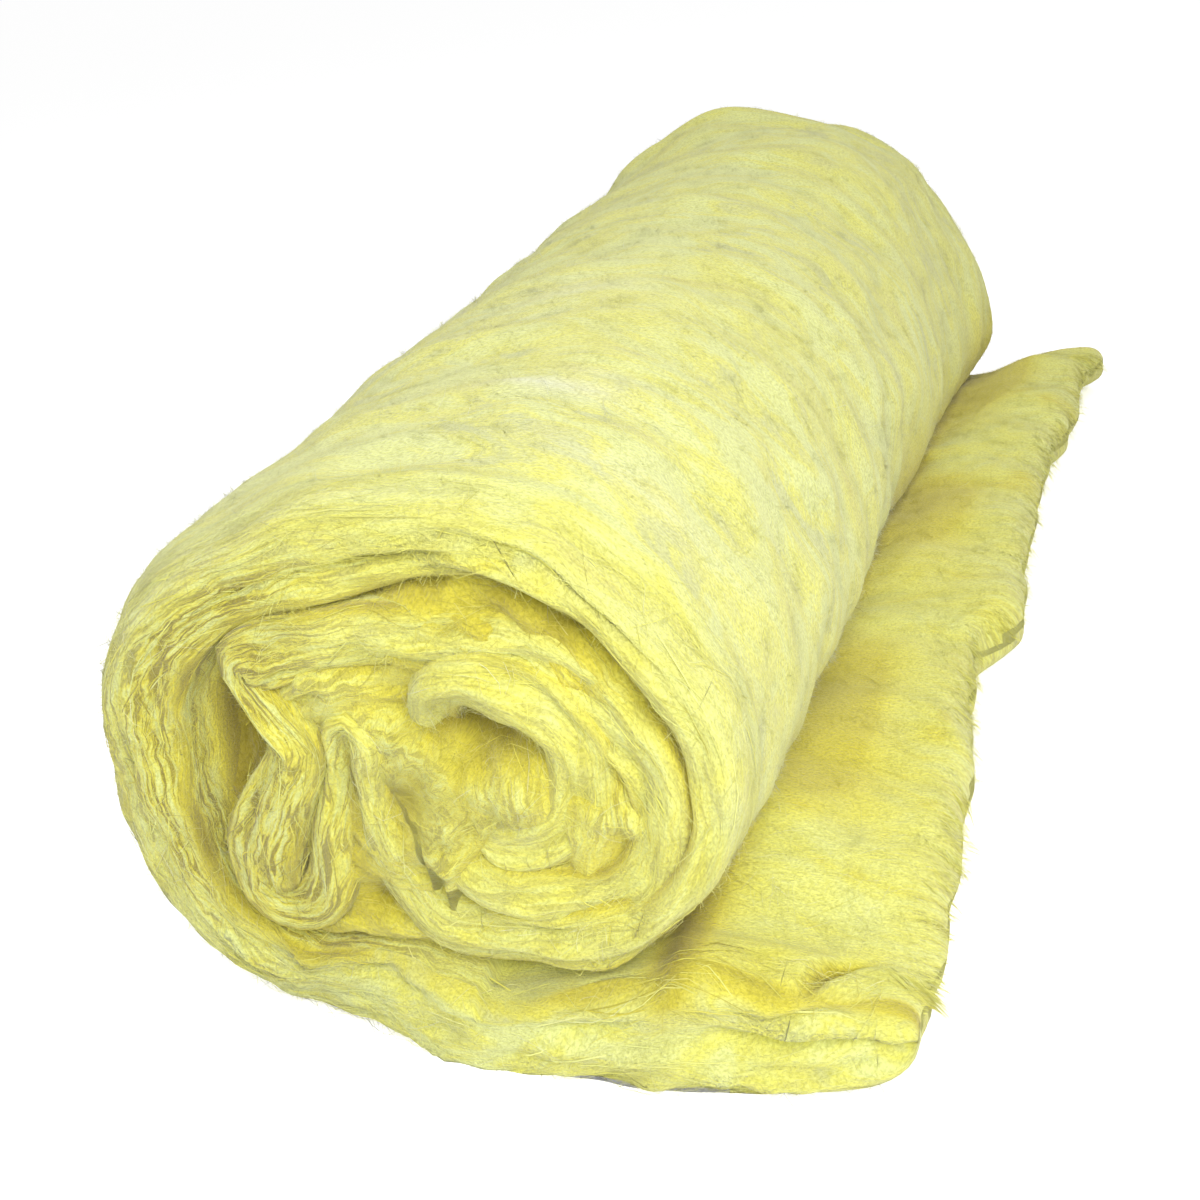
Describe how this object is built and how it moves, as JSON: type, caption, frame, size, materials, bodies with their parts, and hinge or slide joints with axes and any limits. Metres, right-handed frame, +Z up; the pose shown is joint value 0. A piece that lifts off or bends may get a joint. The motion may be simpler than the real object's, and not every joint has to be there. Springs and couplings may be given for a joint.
{
  "type": "insulation roll",
  "caption": "Loosely rolled blanket of yellow glass wool lying on its side, with open turns at its ends and its loose end run out along the floor.",
  "frame": {"origin": "on the floor under the middle of the roll, halfway along it", "axes": "+X across the roll towards the loose end, +Y along the roll, +Z up"},
  "size_m": [0.6182, 1.232, 0.3777],
  "materials": {
    "glass_wool": "matt loose fibre"
  },
  "bodies": {
    "root": {"wool_blanket": "glass_wool"}
  },
  "joints": []
}
